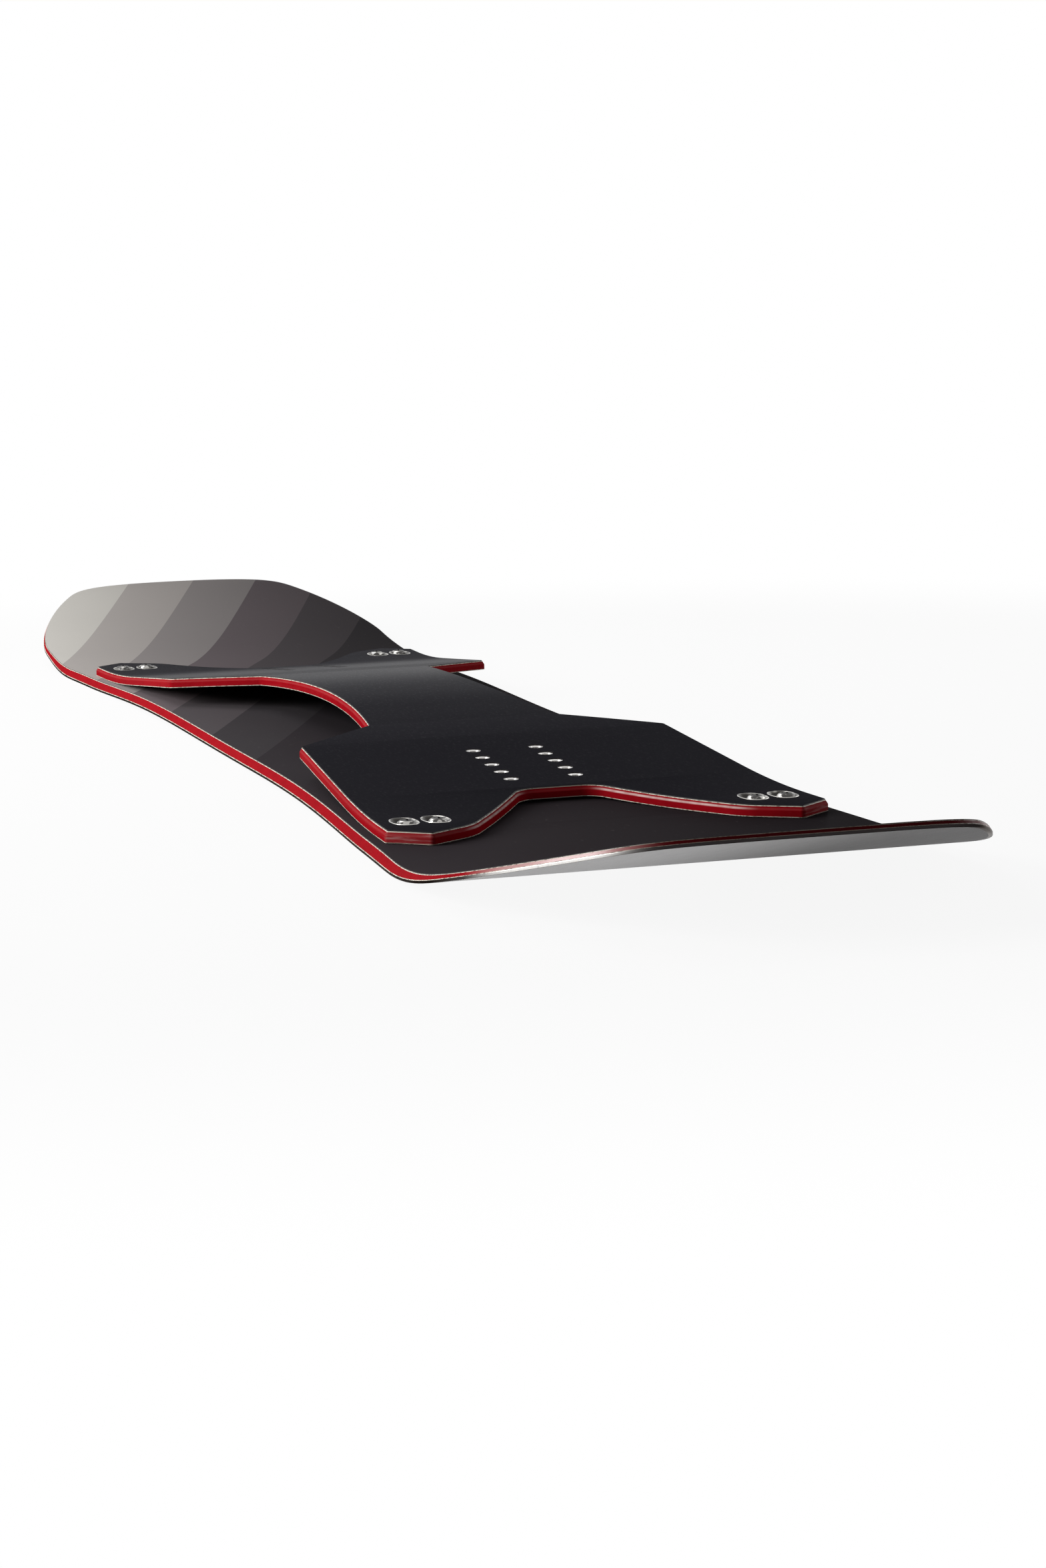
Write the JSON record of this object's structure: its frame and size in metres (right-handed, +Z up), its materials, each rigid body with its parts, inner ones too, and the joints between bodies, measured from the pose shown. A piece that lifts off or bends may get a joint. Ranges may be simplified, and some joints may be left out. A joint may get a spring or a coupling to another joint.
{
  "type": "snowboard",
  "caption": "Snowboard with an arched upper deck screwed to it at four wings: layered board with steel edges, red sidewalls and a grey-striped top, black deck with binding inserts.",
  "frame": {"origin": "bottom centre of the bounding box, on the plane that the board lies on", "axes": "+X along the board towards the tail, +Y across it, +Z up"},
  "size_m": [1.5548, 0.2958, 0.0517],
  "materials": {
    "base": "stone-ground polyethylene",
    "steel_edge": "ground",
    "laminate": "glass fibre in resin, cream",
    "core": "hidden inside",
    "red_sidewall": "satin red",
    "topsheet": "satin, graded grey stripes",
    "deck_topsheet": "satin black",
    "insert": "bright",
    "fastener": "polished"
  },
  "bodies": {
    "root": {"base_sheet_middle": "base", "base_sheet_nose": "base", "base_sheet_tail": "base", "steel_edge_nose": "steel_edge", "steel_edge_tail": "steel_edge", "lower_laminate": "laminate", "wood_core": "core", "sidewall_left": "red_sidewall", "sidewall_right": "red_sidewall", "tip_spacer_nose": "red_sidewall", "tip_spacer_tail": "red_sidewall", "upper_laminate": "laminate", "topsheet": "topsheet", "pad_insert_nose_left": "insert", "pad_insert_nose_right": "insert", "pad_insert_tail_left": "insert", "pad_insert_tail_right": "insert", "deck_lower_laminate": "laminate", "deck_core": "core", "deck_sidewall_nose": "red_sidewall", "deck_sidewall_tail": "red_sidewall", "deck_upper_laminate": "laminate", "deck_topsheet": "deck_topsheet", "binding_insert_nose_left_1": "insert", "binding_insert_nose_left_2": "insert", "binding_insert_nose_left_3": "insert", "binding_insert_nose_left_4": "insert", "binding_insert_nose_left_5": "insert", "binding_insert_nose_right_1": "insert", "binding_insert_nose_right_2": "insert", "binding_insert_nose_right_3": "insert", "binding_insert_nose_right_4": "insert", "binding_insert_nose_right_5": "insert", "binding_insert_tail_left_1": "insert", "binding_insert_tail_left_2": "insert", "binding_insert_tail_left_3": "insert", "binding_insert_tail_left_4": "insert", "binding_insert_tail_left_5": "insert", "binding_insert_tail_right_1": "insert", "binding_insert_tail_right_2": "insert", "binding_insert_tail_right_3": "insert", "binding_insert_tail_right_4": "insert", "binding_insert_tail_right_5": "insert", "cup_washer_nose_left_inner": "fastener", "cup_washer_nose_left_outer": "fastener", "cup_washer_nose_right_inner": "fastener", "cup_washer_nose_right_outer": "fastener", "cup_washer_tail_left_inner": "fastener", "cup_washer_tail_left_outer": "fastener", "cup_washer_tail_right_inner": "fastener", "cup_washer_tail_right_outer": "fastener", "deck_screw_nose_left_inner": "fastener", "deck_screw_nose_left_outer": "fastener", "deck_screw_nose_right_inner": "fastener", "deck_screw_nose_right_outer": "fastener", "deck_screw_tail_left_inner": "fastener", "deck_screw_tail_left_outer": "fastener", "deck_screw_tail_right_inner": "fastener", "deck_screw_tail_right_outer": "fastener"}
  },
  "joints": []
}
